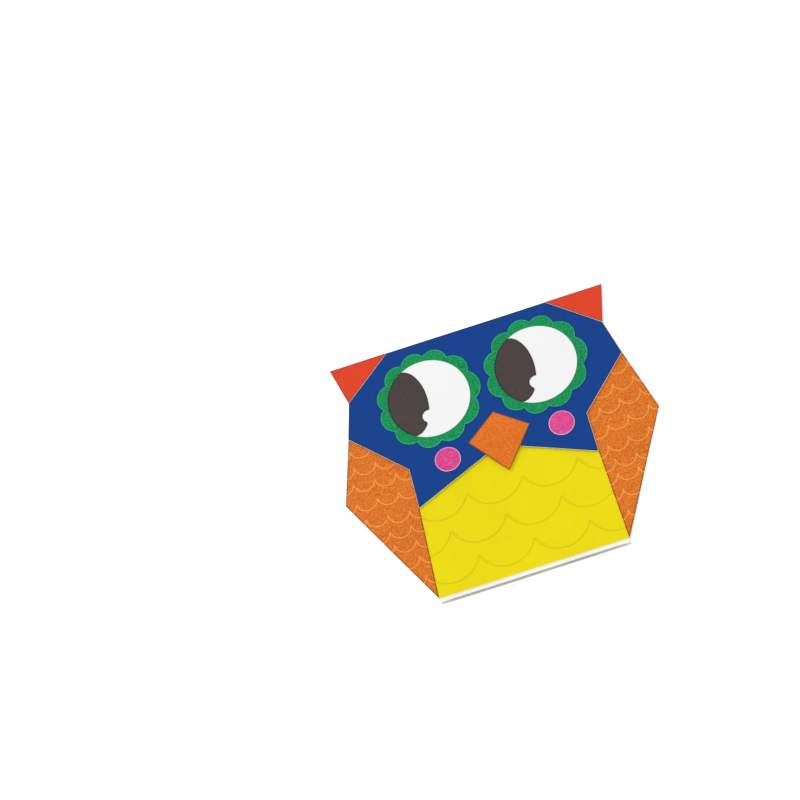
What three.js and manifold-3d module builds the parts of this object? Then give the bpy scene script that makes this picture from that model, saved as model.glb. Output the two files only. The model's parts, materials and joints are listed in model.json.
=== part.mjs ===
// Owl hand puppet: cut-paper pieces glued on a folded, gusseted paper bag.
// Millimetres, +Z up. It lies on its back with the face up: +X is the viewer's right and +Y points
// to the top of the head. "Depth" is the distance below the top fold, measured along the sheet.
// Left and right are the viewer's.
import * as THREE from "three";
import { mergeVertices } from "three/addons/utils/BufferGeometryUtils.js";
import Module from "manifold-3d";

const manifold = await Module();
manifold.setup();

const DEGREE = Math.PI / 180;

// Paper stock and play between sheets.
const CARD = 0.3; // coloured card and the white back card
const BAG_PAPER = 0.15; // thin white paper of the bag
const GLUE = 0.05; // film between two sheets that are stuck together
const SLIP = 0.3; // free play between sheets that move against each other
const FOLD_PLAY = 0.25; // half of the free space inside the bag at its top fold

// The bag: a flat tube with a fold-in gusset on each side, open at the foot.
const HEIGHT = 166; // from the top fold to the foot of the front
const BAG_WIDTH = 119.4;
const FRONT_LIP = 2.4; // how far the bag's front wall stands out past the belly at the opening
const BACK_LIP = 1.2; // how far the back stands out past the same line
const FLAP_DEPTH = 68; // the folded-over closed end that carries the head
const REST_GAPE = 2; // degrees that the folds spring the empty bag open
const CREASE_ANGLE = 13; // degrees from the side edge of the bag to the gusset's middle crease
const HINGE_TRIM = 0.3; // gusset paper left out beside the edge it folds on
const CREASE_TRIM = 0.2; // gusset paper left out beside its middle crease

// Outline of the whole owl, right half.
const HALF_SPAN = 98.9; // centre line to the tip of a wing
const WING_TIP_DEPTH = 89;
const BACK_MARGIN = 1.8; // how far the white back card stops short of the wings
const SHOULDER_X = 86.7; // where the wing leaves the side of the head
const SHOULDER_DEPTH = 47.6;
const EAR_TIP_X = 86.5;
const EAR_ROOT_X = 50; // inner end of the ear on the top edge
const EAR_NOTCH_X = 80.6;
const EAR_NOTCH_DEPTH = 24.8;

// Head, belly and wing edges inside the outline.
const CHIN_DEPTH = 81.4; // lower edge of the head on the centre line
const CHIN_SLOPE = 0.43; // how fast that edge drops towards the wings
const CHIN_CORNER_X = 56.6;
const WING_TOP_X = 56.1;
const WING_TOP_DEPTH = 79.2;
const TUCK = 8; // paper of belly and wings hidden under the head
const SIDE_TUCK = 4; // paper of the belly hidden under each wing

// Face.
const EYE_RADIUS = 25.2; // white disc
const RIM_DIP = 3.5; // coloured rim at the dips of its scalloped edge
const RIM_BUMP = 7; // and at the tops of its bumps
const RIM_DIPS = [6, 36, 70, 108, 145, 179, 209, 241, 274, 306, 337]; // degrees clockwise from up
const EYE_TOP_MARGIN = 6; // top fold to the scalloped rim
const EYE_GAP = 3.3; // between the two scalloped rims
const EYE_DRIFT = 1; // the eyes are glued on this much to the right of the centre line
const PUPIL_HALF_WIDTH = 12.15;
const PUPIL_HALF_HEIGHT = 21.8;
const PUPIL_X = -13.1; // centre of the oval pupil, from the eye's centre
const PUPIL_Y = 0.4;
const PUPIL_INSET = 0.1; // pupil held back from the edge of the white disc
const GLINT_RADIUS = 4.1; // round bite out of the pupil
const GLINT_X = -2.8;
const GLINT_Y = -11.1;
const CHEEK_RADIUS = 7.9;
const CHEEK_GAP = 2.2; // between cheek and rim
const CHEEK_SPREAD = 2.1; // cheeks stand this much further out than the eyes
const CHEEK_DRIFT = 4; // the cheeks are glued on this much to the right
const BEAK_DRIFT = 2; // and the beak this much
const BEAK_TOP_DROP = 21.1; // level of the eye centres to the beak's top corner
const BEAK_SIDE_DROP = 15.1; // top corner to the level of the side corners
const BEAK_HALF_WIDTH = 19.4;
const BEAK_HEIGHT = 40.5;

const ARC_STEP = 10 * DEGREE; // largest turn between two points of a round edge

const COLOURS = {
  white: 0xf3f1ea,
  bag: 0xf6f4ee,
  blue: 0x1e448c,
  yellow: 0xeedc1b,
  wing: 0xe27d32,
  beak: 0xe3762c,
  red: 0xe2482f,
  green: 0x1e965c,
  pink: 0xdc4e92,
  brown: 0x504645,
};

// ---------------------------------------------------------------- outlines

// Points given as [x, depth] pairs, on the right half only or all the way round.
function outline(pairs) {
  return pairs.map(([x, depth]) => new THREE.Vector2(x, -depth));
}

// A right half that starts and ends on the centre line or beside it, closed by its mirror image.
function mirrored(pairs) {
  const left = pairs.filter(([x]) => x > 0).map(([x, depth]) => [-x, depth]);
  return outline([...pairs, ...left.reverse()]);
}

// Points on an arc about a centre, both ends included, turning from one angle to the other.
function arc(centre, radius, from, to) {
  const steps = Math.max(2, Math.ceil(Math.abs(to - from) / ARC_STEP));
  return Array.from({ length: steps + 1 }, (_, i) => {
    const angle = from + ((to - from) * i) / steps;
    return new THREE.Vector2(Math.cos(angle), Math.sin(angle)).multiplyScalar(radius).add(centre);
  });
}

// The points of a closed circle.
function disc(centre, radius) {
  return arc(centre, radius, 0, 2 * Math.PI).slice(1);
}

// The points of a closed oval.
function oval(centre, halfWidth, halfHeight) {
  const stretch = new THREE.Vector2(halfWidth, halfHeight);
  return disc(new THREE.Vector2(), 1).map((point) => point.multiply(stretch).add(centre));
}

// The direction at an angle clockwise from straight up.
function clockwise(degrees) {
  return (90 - degrees) * DEGREE;
}

// A disc with round bumps between dips at uneven angles: each bump is an arc from dip to dip.
function scalloped(centre, dipRadius, bumpRadius) {
  return RIM_DIPS.map((dip, i) => {
    const next = RIM_DIPS[i + 1] ?? RIM_DIPS[0] + 360;
    const half = ((next - dip) / 2) * DEGREE;
    const side = dipRadius * Math.sin(half);
    const rise = dipRadius * Math.cos(half);
    const radius = (side ** 2 + (bumpRadius - rise) ** 2) / (2 * (bumpRadius - rise));
    const top = clockwise((dip + next) / 2);
    const reach = bumpRadius - radius;
    const swing = Math.atan2(side, rise - reach);
    const bump = new THREE.Vector2(Math.cos(top), Math.sin(top)).multiplyScalar(reach).add(centre);
    return arc(bump, radius, top + swing, top - swing).slice(1);
  }).flat();
}

// Lower edge of the head at a distance from the centre line.
function chin(x) {
  return CHIN_DEPTH + CHIN_SLOPE * Math.abs(x);
}

// ---------------------------------------------------------------- sheets

// A flat slab of this outline, from height 0 up.
function slab(points, thickness) {
  return new THREE.ExtrudeGeometry(new THREE.Shape(points), { depth: thickness, bevelEnabled: false });
}

// A named sheet of one colour with this shape, its underside at height "base" in its group.
function sheetOf(name, geometry, base, colour) {
  const material = new THREE.MeshStandardMaterial({
    color: COLOURS[colour],
    roughness: 0.85,
    metalness: 0,
  });
  const mesh = new THREE.Mesh(geometry, material);
  mesh.name = name;
  mesh.position.z = base;
  return mesh;
}

// The same for a sheet cut to an outline.
function sheet(name, points, base, thickness, colour) {
  return sheetOf(name, slab(points, thickness), base, colour);
}

// A three.js geometry as a solid that can be cut.
function toSolid(geometry) {
  const bare = new THREE.BufferGeometry().setAttribute("position", geometry.getAttribute("position"));
  const merged = mergeVertices(bare);
  return new manifold.Manifold(
    new manifold.Mesh({
      numProp: 3,
      vertProperties: merged.getAttribute("position").array,
      triVerts: new Uint32Array(merged.index.array),
    }),
  );
}

// A cut solid as a three.js geometry.
function toGeometry(solid) {
  const { vertProperties, triVerts } = solid.getMesh();
  const geometry = new THREE.BufferGeometry();
  geometry.setAttribute("position", new THREE.BufferAttribute(vertProperties, 3));
  geometry.setIndex(new THREE.BufferAttribute(triVerts, 1));
  return geometry;
}

// An oval pupil, trimmed to the white disc and with a round bite out of its right side.
function pupil(eye) {
  const offset = (x, y) => new THREE.Vector2(x, y).add(eye);
  const cutter = (points) => toSolid(slab(points, 3 * CARD).translate(0, 0, -CARD));
  const whole = toSolid(slab(oval(offset(PUPIL_X, PUPIL_Y), PUPIL_HALF_WIDTH, PUPIL_HALF_HEIGHT), CARD));
  const trimmed = whole.intersect(cutter(disc(eye, EYE_RADIUS - PUPIL_INSET)));
  return toGeometry(trimmed.subtract(cutter(disc(offset(GLINT_X, GLINT_Y), GLINT_RADIUS))));
}

// ---------------------------------------------------------------- heights of the layers

// Back, above the table.
const backWallBase = CARD + GLUE;
const foldHeight = backWallBase + BAG_PAPER + FOLD_PLAY; // the line the bag opens about

// Front and head, above the tilted plane through that line.
const frontWallBase = FOLD_PLAY;
const bellyBase = frontWallBase + BAG_PAPER + GLUE;
const wingBase = bellyBase + CARD + GLUE;
const flapInnerBase = wingBase + CARD + SLIP;
const flapOuterBase = flapInnerBase + BAG_PAPER + GLUE;
const headBase = flapOuterBase + BAG_PAPER + GLUE;
const faceBase = headBase + CARD + GLUE;
const eyeBase = faceBase + CARD + GLUE;
const pupilBase = eyeBase + CARD + GLUE;

const bagHalf = BAG_WIDTH / 2;
const footX = bagHalf + GLUE; // the owl's foot is as wide as the bag

// ---------------------------------------------------------------- back, lying on the table

function makeBack() {
  const back = new THREE.Group();
  const owl = mirrored([
    [EAR_TIP_X, 0],
    [EAR_NOTCH_X, EAR_NOTCH_DEPTH],
    [SHOULDER_X, SHOULDER_DEPTH],
    [HALF_SPAN - BACK_MARGIN, WING_TIP_DEPTH],
    [footX - BACK_MARGIN, HEIGHT + BACK_LIP],
  ]);
  const wall = mirrored([[bagHalf, 0], [bagHalf, HEIGHT + BACK_LIP]]);
  back.add(sheet("back_cutout", owl, 0, CARD, "white"));
  back.add(sheet("bag_back_wall", wall, backWallBase, BAG_PAPER, "bag"));
  return back;
}

// ---------------------------------------------------------------- front of the bag, belly and wings

function makeFront() {
  const front = new THREE.Group();
  const wall = mirrored([[bagHalf, HINGE_TRIM], [bagHalf, HEIGHT + FRONT_LIP]]);
  front.add(sheet("bag_front_wall", wall, frontWallBase, BAG_PAPER, "bag"));

  const bellyTopX = CHIN_CORNER_X + SIDE_TUCK;
  const belly = mirrored([
    [0, CHIN_DEPTH - TUCK],
    [bellyTopX, chin(bellyTopX) - TUCK],
    [footX, HEIGHT],
  ]);
  front.add(sheet("belly", belly, bellyBase, CARD, "yellow"));

  const alongHead = TUCK / Math.hypot(SHOULDER_X - EAR_NOTCH_X, SHOULDER_DEPTH - EAR_NOTCH_DEPTH);
  const hiddenTop = [
    SHOULDER_X + (EAR_NOTCH_X - SHOULDER_X) * alongHead,
    SHOULDER_DEPTH + (EAR_NOTCH_DEPTH - SHOULDER_DEPTH) * alongHead,
  ];
  const innerX = WING_TOP_X - TUCK;
  const rightWing = [
    hiddenTop,
    [SHOULDER_X, SHOULDER_DEPTH],
    [HALF_SPAN, WING_TIP_DEPTH],
    [footX, HEIGHT],
    [CHIN_CORNER_X, chin(CHIN_CORNER_X)],
    [innerX, chin(innerX) - TUCK],
    [innerX, WING_TOP_DEPTH - TUCK],
  ];
  const leftWing = rightWing.map(([x, depth]) => [-x, depth]).reverse();
  front.add(sheet("wing_left", outline(leftWing), wingBase, CARD, "wing"));
  front.add(sheet("wing_right", outline(rightWing), wingBase, CARD, "wing"));
  return front;
}

// ---------------------------------------------------------------- head on the folded-over end

function makeHead() {
  const head = new THREE.Group();
  const flap = mirrored([[bagHalf, HINGE_TRIM], [bagHalf, FLAP_DEPTH]]);
  head.add(sheet("flap_inner", flap, flapInnerBase, BAG_PAPER, "bag"));
  head.add(sheet("flap_outer", flap, flapOuterBase, BAG_PAPER, "bag"));

  const face = mirrored([
    [EAR_TIP_X, 0],
    [EAR_NOTCH_X, EAR_NOTCH_DEPTH],
    [SHOULDER_X, SHOULDER_DEPTH],
    [WING_TOP_X, WING_TOP_DEPTH],
    [CHIN_CORNER_X, chin(CHIN_CORNER_X)],
    [0, CHIN_DEPTH],
  ]);
  head.add(sheet("head_cutout", face, headBase, CARD, "blue"));

  const rimPeak = EYE_RADIUS + RIM_BUMP;
  const eyeX = rimPeak + EYE_GAP / 2;
  const eyeDepth = EYE_TOP_MARGIN + rimPeak;
  const cheekDepth = eyeDepth + rimPeak + CHEEK_GAP + CHEEK_RADIUS;
  for (const [side, sign] of [["left", -1], ["right", 1]]) {
    const ear = outline([
      [sign * EAR_ROOT_X, 0],
      [sign * EAR_TIP_X, 0],
      [sign * EAR_NOTCH_X, EAR_NOTCH_DEPTH],
    ]);
    const eye = new THREE.Vector2(sign * eyeX + EYE_DRIFT, -eyeDepth);
    const cheek = new THREE.Vector2(sign * (eyeX + CHEEK_SPREAD) + CHEEK_DRIFT, -cheekDepth);
    const rim = scalloped(eye, EYE_RADIUS + RIM_DIP, rimPeak);
    head.add(sheet("ear_" + side, ear, faceBase, CARD, "red"));
    head.add(sheet("eye_ring_" + side, rim, faceBase, CARD, "green"));
    head.add(sheet("eye_white_" + side, disc(eye, EYE_RADIUS), eyeBase, CARD, "white"));
    head.add(sheetOf("pupil_" + side, pupil(eye), pupilBase, "brown"));
    head.add(sheet("cheek_" + side, disc(cheek, CHEEK_RADIUS), faceBase, CARD, "pink"));
  }

  const beakTop = eyeDepth + BEAK_TOP_DROP;
  const beak = outline([
    [BEAK_DRIFT, beakTop],
    [BEAK_DRIFT + BEAK_HALF_WIDTH, beakTop + BEAK_SIDE_DROP],
    [BEAK_DRIFT, beakTop + BEAK_HEIGHT],
    [BEAK_DRIFT - BEAK_HALF_WIDTH, beakTop + BEAK_SIDE_DROP],
  ]);
  head.add(sheet("beak", beak, faceBase, CARD, "beak"));
  return head;
}

// ---------------------------------------------------------------- gussets

// Angle that each half of a gusset stands off its wall when the bag gapes by this much.
function gussetAngle(gape) {
  return Math.asin(Math.tan((gape * DEGREE) / 2) / Math.tan(CREASE_ANGLE * DEGREE));
}

// Half a gusset: a triangle between the side edge of a wall and the middle crease. It folds on the
// edge and leans into the bag. The back halves rise from the back wall, the front ones hang down.
function makeGussetHalf(side, wall) {
  const sign = side === "left" ? -1 : 1;
  const rise = wall === "back" ? 1 : -1;
  const slope = Math.tan(CREASE_ANGLE * DEGREE);
  const inward = (distance) => -sign * distance;
  const triangle = outline([
    [inward(HINGE_TRIM), (HINGE_TRIM + CREASE_TRIM) / slope],
    [inward(HINGE_TRIM), HEIGHT],
    [inward(HEIGHT * slope - CREASE_TRIM), HEIGHT],
  ]);
  const base = wall === "back" ? -BAG_PAPER : 0;
  const turned = new THREE.Group();
  turned.position.x = sign * bagHalf;
  turned.rotation.y = sign * rise * gussetAngle(REST_GAPE);
  turned.add(sheet(`gusset_${side}_${wall}`, triangle, base, BAG_PAPER, "bag"));
  return turned;
}

// ---------------------------------------------------------------- the whole puppet

const puppet = new THREE.Group();
puppet.name = "owl_bag_puppet";

const back = makeBack();
const backFold = new THREE.Group();
backFold.position.z = foldHeight;
const frontFold = new THREE.Group();
frontFold.position.z = foldHeight;
frontFold.rotation.x = -REST_GAPE * DEGREE;
frontFold.add(makeFront(), makeHead());
for (const side of ["left", "right"]) {
  backFold.add(makeGussetHalf(side, "back"));
  frontFold.add(makeGussetHalf(side, "front"));
}
const lying = new THREE.Group();
lying.add(back, backFold, frontFold);
puppet.add(lying);

// The origin is on the table, under the middle of the whole outline.
const reach = new THREE.Box3().setFromObject(lying);
lying.position.y = -(reach.min.y + reach.max.y) / 2;

export default puppet;
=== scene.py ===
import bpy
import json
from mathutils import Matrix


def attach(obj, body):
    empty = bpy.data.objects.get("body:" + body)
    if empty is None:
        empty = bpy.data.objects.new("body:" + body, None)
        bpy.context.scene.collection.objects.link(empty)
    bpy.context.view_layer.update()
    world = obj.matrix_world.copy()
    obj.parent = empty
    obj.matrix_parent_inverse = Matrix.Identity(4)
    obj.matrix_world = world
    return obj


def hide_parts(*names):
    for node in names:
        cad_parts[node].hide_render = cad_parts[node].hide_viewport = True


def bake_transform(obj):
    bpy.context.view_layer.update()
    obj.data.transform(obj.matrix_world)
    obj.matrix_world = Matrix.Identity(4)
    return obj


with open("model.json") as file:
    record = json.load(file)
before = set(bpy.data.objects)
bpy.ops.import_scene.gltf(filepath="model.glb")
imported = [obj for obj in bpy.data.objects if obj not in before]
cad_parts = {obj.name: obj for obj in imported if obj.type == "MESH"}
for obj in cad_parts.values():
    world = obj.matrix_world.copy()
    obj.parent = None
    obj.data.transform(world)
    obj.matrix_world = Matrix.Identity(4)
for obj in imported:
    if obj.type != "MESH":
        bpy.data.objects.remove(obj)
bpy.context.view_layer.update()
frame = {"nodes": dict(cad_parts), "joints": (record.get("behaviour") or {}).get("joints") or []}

# Most printed sheets also get painted edge shade, a strip along the cut drawn darker than the print; on the
# green and pink ones it is paler, a painted highlight.
# Owl hand puppet: cut-paper pieces glued on a folded, gusseted paper bag, lying on its back.
# Every sheet is drawn flat as an outline, cut, given its thickness and its worn cut edge, scored
# where it is scored, cockled as glued paper is, and laid on the plane that the imported model has.
# Metres. On a sheet's own plane x runs to the viewer's right, y up towards the top fold, where it
# is 0, and z is the height above the plane. "Depth" is the distance below the top fold.
import json
import logging
import math
from collections.abc import Callable, Sequence
from dataclasses import dataclass
from enum import Enum

import bmesh
import bpy
from mathutils import Matrix, Vector

log = logging.getLogger("owl_puppet")

MM = 0.001
OWL_SIDES = (("left", -1), ("right", 1))

# The colour sockets of a Mix node share their names with its other sockets, so they go by number.
MIX_FACTOR, MIX_FIRST, MIX_SECOND, MIX_RESULT = 0, 6, 7, 2
FIBRE_WAYS = ((0.5, 5.0), (-0.9, 4.0), (1.9, 6.0))  # turn of each set of fibres, and how slender
SPECK_MASKS = (("Heavy", 0.0, 0.46, 0.62), ("Starved", 7.3, 0.52, 0.7))  # offset and limits of each
GLOSS_SPREAD = 0.1  # how far the roughness drifts either way
CLOUD_RANGE = (0.3, 0.7)  # where in the clouds the deep and the light shade are reached
CLOUD_DEPTH = 0.3  # how far the colour drifts where its clouds are at full strength
PRINT_GLOSS = 0.1  # specular level of matt printed paper
CLOSEST_LINE = 0.1  # no mesh line is nearer to a sheet's far end than this share of the spacing


# ------------------------------------------------------------------ node helpers


Wires = dict[str | int, bpy.types.NodeSocket]


def new_node(
    tree: bpy.types.NodeTree, kind: str, wires: Wires | None = None, **values: object
) -> bpy.types.Node:
    """Add a node, set its properties or the default values of its inputs, and wire it.

    Args:
        tree: The node tree that gets the node.
        kind: The node's type without the leading "ShaderNode" or "Node".
        wires: Input names or numbers and the sockets that feed them.
        values: Property names, or input names with spaces as underscores, and their values.

    Returns:
        The new node.
    """
    prefix = "" if kind.startswith("Node") else "ShaderNode"
    node = tree.nodes.new(prefix + kind)
    for name, value in values.items():
        socket = node.inputs.get(name.replace("_", " "))
        if socket is not None:
            socket.default_value = value
        else:
            setattr(node, name, value)
    for end, source in (wires or {}).items():
        tree.links.new(source, node.inputs[end])
    return node


def new_group(
    name: str, inputs: dict[str, float], outputs: Sequence[str]
) -> tuple[bpy.types.NodeTree, bpy.types.Node, bpy.types.Node]:
    """Make an empty shader node group whose sockets are all plain numbers.

    Args:
        name: The group's name.
        inputs: Input names and default values.
        outputs: Output names.

    Returns:
        The group, its input node and its output node.
    """
    group = bpy.data.node_groups.new(name, "ShaderNodeTree")
    for label, value in inputs.items():
        socket = group.interface.new_socket(name=label, in_out="INPUT", socket_type="NodeSocketFloat")
        socket.default_value = value
    for label in outputs:
        group.interface.new_socket(name=label, in_out="OUTPUT", socket_type="NodeSocketFloat")
    return group, new_node(group, "NodeGroupInput"), new_node(group, "NodeGroupOutput")


def linear(colour: tuple[int, int, int]) -> tuple[float, float, float, float]:
    """Turn a screen colour, 0 to 255, into the linear colour that a shader takes.

    Args:
        colour: Red, green and blue, 0 to 255.

    Returns:
        Linear red, green, blue and an alpha of 1.
    """

    def channel(value: float) -> float:
        """Undo the screen's tone curve for one channel, 0 to 1."""
        return value / 12.92 if value <= 0.04045 else ((value + 0.055) / 1.055) ** 2.4

    red, green, blue = (channel(part / 255) for part in colour)
    return red, green, blue, 1.0


# ------------------------------------------------------------------ effects shared by the finishes


def paper_surface_group() -> bpy.types.NodeTree:
    """Make the paper surface: felted fibres and a soft large unevenness.

    Returns:
        A group with a fibre size and outputs Height (bumps) and Tone (light and dark clouds).
    """
    sizes = {"Fibres per metre": 900.0, "Clouds per metre": 45.0}
    group, start, end = new_group("paper_surface", sizes, ("Height", "Tone"))
    place = new_node(group, "TexCoord").outputs["Object"]
    felt = None
    for turn, stretch in FIBRE_WAYS:
        turned = new_node(
            group, "Mapping", {"Vector": place}, Rotation=(0, 0, turn), Scale=(1, stretch, 1)
        )
        wires = {"Vector": turned.outputs["Vector"], "Scale": start.outputs["Fibres per metre"]}
        strand = new_node(group, "TexNoise", wires, Detail=2.0, Roughness=0.6).outputs["Fac"]
        if felt is None:
            felt = strand
        else:
            felt = new_node(group, "Math", {0: felt, 1: strand}, operation="MAXIMUM").outputs[0]
    wires = {"Vector": place, "Scale": start.outputs["Clouds per metre"]}
    clouds = new_node(group, "TexNoise", wires, Detail=4.0, Roughness=0.55)
    group.links.new(felt, end.inputs["Height"])
    group.links.new(clouds.outputs["Fac"], end.inputs["Tone"])
    return group


def ink_speckle_group() -> bpy.types.NodeTree:
    """Make the grainy print: small starved specks and small heavy specks in the ink.

    Returns:
        A group with sizes and amounts, and outputs Heavy and Starved, both masks from 0 to 1.
    """
    group, start, end = new_group(
        "ink_speckle", {"Grains per metre": 1100.0, "Amount": 0.5}, ("Heavy", "Starved")
    )
    place = new_node(group, "TexCoord").outputs["Object"]
    for label, offset, low, high in SPECK_MASKS:
        moved = new_node(group, "Mapping", {"Vector": place}, Location=(offset, offset, 0))
        wires = {"Vector": moved.outputs["Vector"], "Scale": start.outputs["Grains per metre"]}
        grain = new_node(group, "TexNoise", wires, Detail=3.0, Roughness=0.75)
        mask = new_node(group, "MapRange", {"Value": grain.outputs["Fac"]}, From_Min=low, From_Max=high)
        wires = {0: mask.outputs["Result"], 1: start.outputs["Amount"]}
        amount = new_node(group, "Math", wires, operation="MULTIPLY")
        group.links.new(amount.outputs[0], end.inputs[label])
    return group


PAPER_SURFACE = paper_surface_group()
INK_SPECKLE = ink_speckle_group()


@dataclass(frozen=True)
class Finish:
    """A paper surface, printed or bare, with the grain and fibres that it shows.

    Attributes:
        name: The material's name.
        colour: Its main screen colour.
        heavy: The screen colour of the darker specks.
        starved: The screen colour of the paler specks.
        speckle: How much the specks show, 0 to 1.
        grains: Specks per metre.
        clouds: How much the colour drifts over the sheet, 0 to 1.
        roughness: Roughness of the surface.
        relief: Height of the fibres, in metres.
        edge_shading: How much darker the strip along the cut is painted, up to 1, a painted shade line at
            the paper's edge; below 0 paler, a painted highlight.
        glow: How strongly the surface is lit from behind.
    """

    name: str
    colour: tuple[int, int, int]
    heavy: tuple[int, int, int]
    starved: tuple[int, int, int]
    speckle: float = 0.5
    grains: float = 1100.0
    clouds: float = 0.25
    roughness: float = 0.62
    relief: float = 0.02 * MM
    # painted shade along the cut where above 0, painted highlight there where below 0
    edge_shading: float = 0.0
    glow: float = 0.0

    def material(self) -> bpy.types.Material:
        """Build the finish as a material on its first use.

        Returns:
            The material, the same one each time.
        """
        made = bpy.data.materials.get(self.name)
        if made is not None:
            return made
        made = bpy.data.materials.new(self.name)
        made.use_nodes = True
        tree = made.node_tree
        shader = tree.nodes["Principled BSDF"]
        shader.inputs["Specular IOR Level"].default_value = PRINT_GLOSS
        shader.inputs["Emission Color"].default_value = (1, 1, 1, 1)
        shader.inputs["Emission Strength"].default_value = self.glow
        surface = new_node(tree, "Group", node_tree=PAPER_SURFACE)
        specks = new_node(tree, "Group", node_tree=INK_SPECKLE)
        specks.inputs["Grains per metre"].default_value = self.grains
        specks.inputs["Amount"].default_value = self.speckle
        colour = self._drift(tree, surface.outputs["Tone"])
        for mask, tint in (("Heavy", self.heavy), ("Starved", self.starved)):
            wires = {MIX_FACTOR: specks.outputs[mask], MIX_FIRST: colour}
            mixed = new_node(tree, "Mix", wires, data_type="RGBA")
            mixed.inputs[MIX_SECOND].default_value = linear(tint)
            colour = mixed.outputs[MIX_RESULT]
        tree.links.new(colour, shader.inputs["Base Color"])
        low, high = self.roughness - GLOSS_SPREAD, self.roughness + GLOSS_SPREAD
        gloss = new_node(tree, "MapRange", {"Value": surface.outputs["Tone"]}, To_Min=low, To_Max=high)
        tree.links.new(gloss.outputs["Result"], shader.inputs["Roughness"])
        wires = {"Height": surface.outputs["Height"]}
        bump = new_node(tree, "Bump", wires, Strength=1.0, Distance=self.relief)
        tree.links.new(bump.outputs["Normal"], shader.inputs["Normal"])
        return made

    def rim(self) -> "Finish":
        """Derive the same print with painted shade along a cut: a darker line that stands for the shade at
        the paper's edge.

        Returns:
            The finish with each of its colours made darker, or made paler as a painted highlight where the
            edge shading is below 0.
        """

        def shade_tint(tint: tuple[int, int, int]) -> tuple[int, int, int]:
            """Darken one screen colour into painted edge shade; a share below 0 lightens it into a painted
            highlight.
            """
            red, green, blue = (min(255, round(part * (1 - self.edge_shading))) for part in tint)
            return red, green, blue

        colours = (shade_tint(self.colour), shade_tint(self.heavy), shade_tint(self.starved))
        return Finish(f"{self.name}_rim", *colours, self.speckle, self.grains, self.clouds)

    def _drift(self, tree: bpy.types.NodeTree, tone: bpy.types.NodeSocket) -> bpy.types.NodeSocket:
        """Let the main colour drift between a deeper and a lighter shade of itself.

        Args:
            tree: The material's node tree.
            tone: The cloud value that drives the drift.

        Returns:
            The socket that holds the drifting colour.
        """
        main = linear(self.colour)
        drift = new_node(tree, "ValToRGB", {"Fac": tone})
        reach = CLOUD_DEPTH * self.clouds
        for stop, position, share in zip(drift.color_ramp.elements, CLOUD_RANGE, (1 - reach, 1 + reach)):
            stop.position = position
            stop.color = (*(min(1.0, part * share) for part in main[:3]), 1.0)
        return drift.outputs["Color"]


class Paint(Enum):
    """The finishes of the puppet's papers."""

    # The edge shading of a finish paints shade along its cut where above 0, and a painted highlight there
    # where below 0.
    BLUE = Finish(
        "blue_print", (11, 62, 136), (2, 52, 123), (28, 76, 148),
        0.4, grains=900, clouds=0.15, edge_shading=0.6
    )
    YELLOW = Finish("yellow_print", (230, 214, 5), (224, 204, 2), (235, 222, 38), 0.35, clouds=0.12)
    ORANGE = Finish(
        "wing_print", (218, 116, 36), (190, 78, 13), (235, 160, 72),
        0.85, grains=900, edge_shading=0.4
    )
    BEAK = Finish(
        "beak_print", (221, 114, 35), (200, 84, 15), (234, 144, 66),
        0.7, grains=900, edge_shading=0.3
    )
    RED = Finish(
        "red_print", (219, 66, 36), (202, 50, 26), (229, 88, 54),
        0.45, clouds=0.15, edge_shading=0.4
    )
    GREEN = Finish(
        "green_print", (6, 146, 80), (2, 100, 50), (66, 184, 128),
        0.9, grains=1300, edge_shading=-0.1
    )
    PINK = Finish(
        "pink_print", (214, 74, 140), (192, 41, 116), (231, 114, 170),
        0.7, grains=700, edge_shading=-0.3
    )
    BROWN = Finish(
        "brown_print", (74, 63, 62), (61, 50, 50), (88, 78, 76),
        0.5, clouds=0.3, edge_shading=0.5
    )
    WHITE = Finish(
        "plain_white", (238, 238, 238), (234, 234, 234), (242, 242, 242),
        0.3, clouds=0.05
    )
    CORE = Finish("cut_edge", (236, 233, 224), (222, 216, 202), (243, 242, 239), 0.6, grains=1600)
    BAG = Finish("bag_outside", (244, 242, 232), (235, 232, 220), (248, 247, 242), 0.5, clouds=0.2)
    # Painted shade: the bag's inner paper is greyer than its outside, so the opening at the foot reads as a
    # grey line.
    INSIDE = Finish(
        "bag_inside_shaded", (226, 226, 222), (208, 208, 204), (236, 236, 232),
        0.6, clouds=0.3
    )
    # Painted shade: the wings' and beak's cut edges and the strips beside them in a dark orange-brown that
    # stands for the shade along the edge.
    ORANGE_EDGE = Finish(
        "orange_edge_shade", (150, 72, 30), (128, 58, 24), (186, 104, 52),
        0.5, grains=1600
    )
    # Painted highlight: the eye rims' cut edges and the strips beside them in a pale green that stands for
    # light along the edge.
    GREEN_EDGE = Finish(
        "green_edge_light", (92, 186, 140), (62, 164, 112), (150, 214, 178),
        0.5, grains=1600
    )
    BELLY_LINE = Finish("belly_line", (216, 197, 2), (208, 188, 2), (224, 206, 23), 0.4)
    WING_LINE = Finish("wing_line", (239, 158, 76), (229, 140, 59), (243, 180, 110), 0.5)


# ------------------------------------------------------------------ work at the bench


def take(obj: bpy.types.Object) -> bpy.types.Object:
    """Select one object alone and make it active.

    Args:
        obj: The object.

    Returns:
        The same object.
    """
    bpy.ops.object.select_all(action="DESELECT")
    obj.select_set(True)
    bpy.context.view_layer.objects.active = obj
    return obj


def settle(obj: bpy.types.Object, **values: object) -> bpy.types.Object:
    """Place an object and move its place into its mesh, so that it sits at the origin.

    Args:
        obj: The object.
        values: Its location, rotation_euler, scale or matrix_world, where it gets one.

    Returns:
        The same object.
    """
    take(obj)
    for name, value in values.items():
        setattr(obj, name, value)
    bpy.ops.object.transform_apply(location=True, rotation=True, scale=True)
    return obj


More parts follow.
